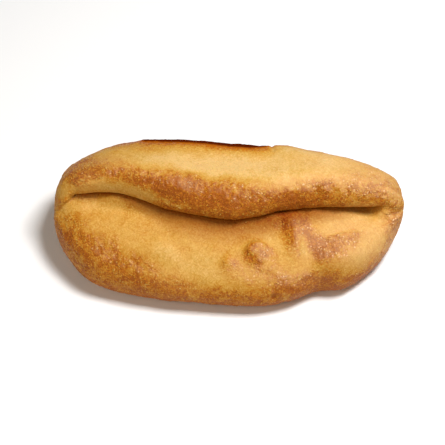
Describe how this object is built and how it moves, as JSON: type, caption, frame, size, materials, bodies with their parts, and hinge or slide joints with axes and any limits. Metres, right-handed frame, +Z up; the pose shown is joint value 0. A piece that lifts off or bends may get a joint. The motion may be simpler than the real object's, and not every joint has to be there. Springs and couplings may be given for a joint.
{
  "type": "coconut bun",
  "caption": "Oval baked bun of sweet dough, folded over along its length so that a thick browned lip lies on a paler lower flap.",
  "frame": {"origin": "under the middle of the bun, on the surface that it rests on", "axes": "+X along the bun, +Y towards its closed back, so the crease faces -Y, and +Z up"},
  "size_m": [0.151, 0.076, 0.0464],
  "materials": {
    "crust": "baked crust, satin with an egg wash, golden yellow to brown"
  },
  "bodies": {
    "root": {"bun": "crust"}
  },
  "joints": []
}
